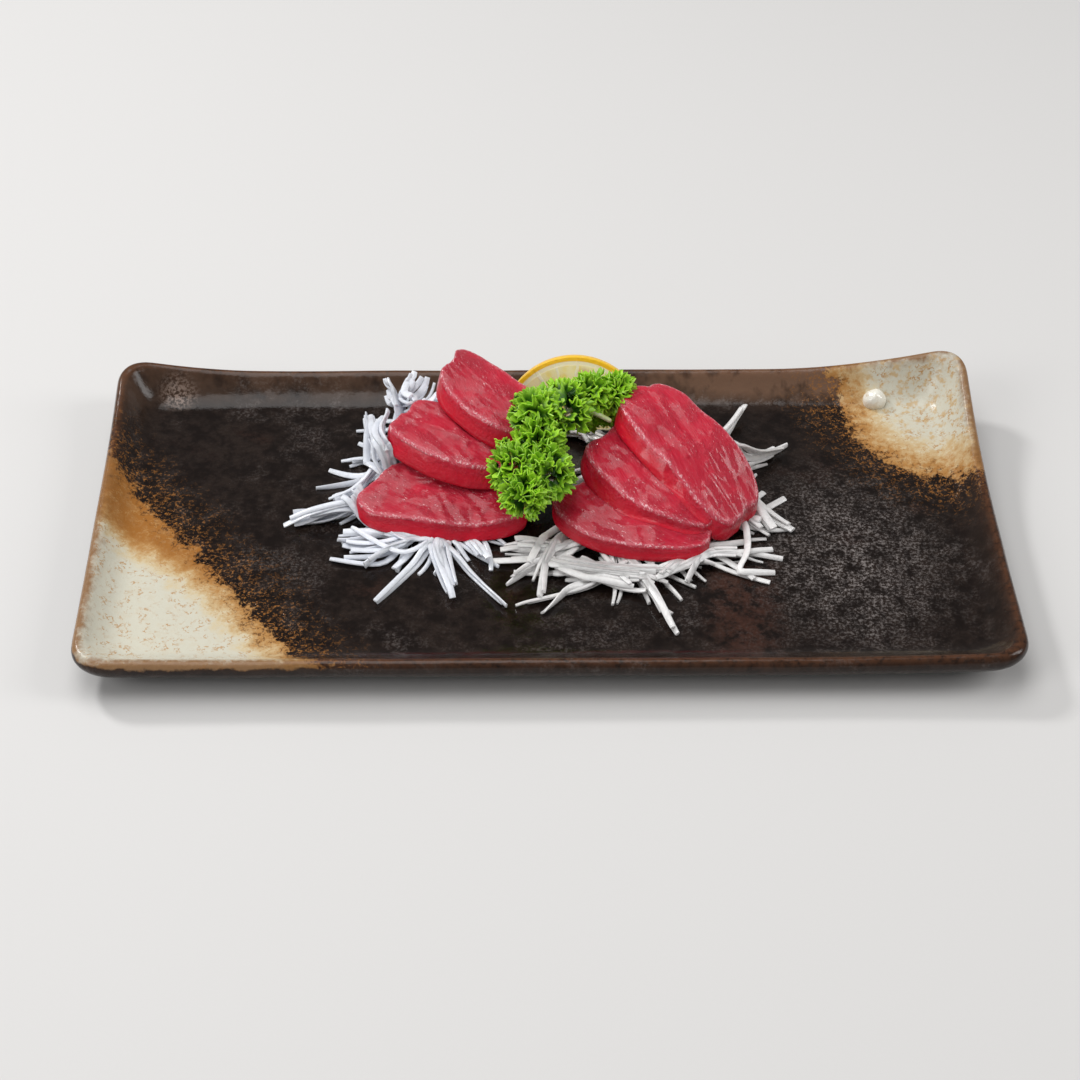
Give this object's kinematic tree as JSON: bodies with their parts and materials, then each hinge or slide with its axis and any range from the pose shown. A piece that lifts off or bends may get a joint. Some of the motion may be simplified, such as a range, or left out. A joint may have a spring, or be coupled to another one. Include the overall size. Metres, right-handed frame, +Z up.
{
  "type": "sashimi plate",
  "caption": "Rectangular dark-glazed stoneware plate with tuna slices fanned on shredded radish, with curly parsley and a lemon half slice.",
  "frame": {"origin": "middle of the bounding box's bottom, under the middle of the plate on the table", "axes": "+X along the plate to the viewer's right, +Y to the rear, away from the diner, +Z up"},
  "size_m": [0.3, 0.15, 0.0502],
  "materials": {
    "glazed_stoneware": "gloss brown-black glaze with ivory and ochre patches at two corners",
    "tuna": "moist translucent red flesh",
    "radish": "moist translucent white shreds",
    "parsley": "fresh green curled leaf, slightly waxy",
    "lemon": "waxy yellow peel, pale pith and juicy flesh"
  },
  "bodies": {
    "root": {"plate": "glazed_stoneware", "radish_left": "radish", "radish_right": "radish", "tuna_left_front": "tuna", "tuna_left_middle": "tuna", "tuna_left_rear": "tuna", "tuna_right_front": "tuna", "tuna_right_middle": "tuna", "tuna_right_rear": "tuna", "parsley": "parsley", "lemon_slice": "lemon"}
  },
  "joints": []
}
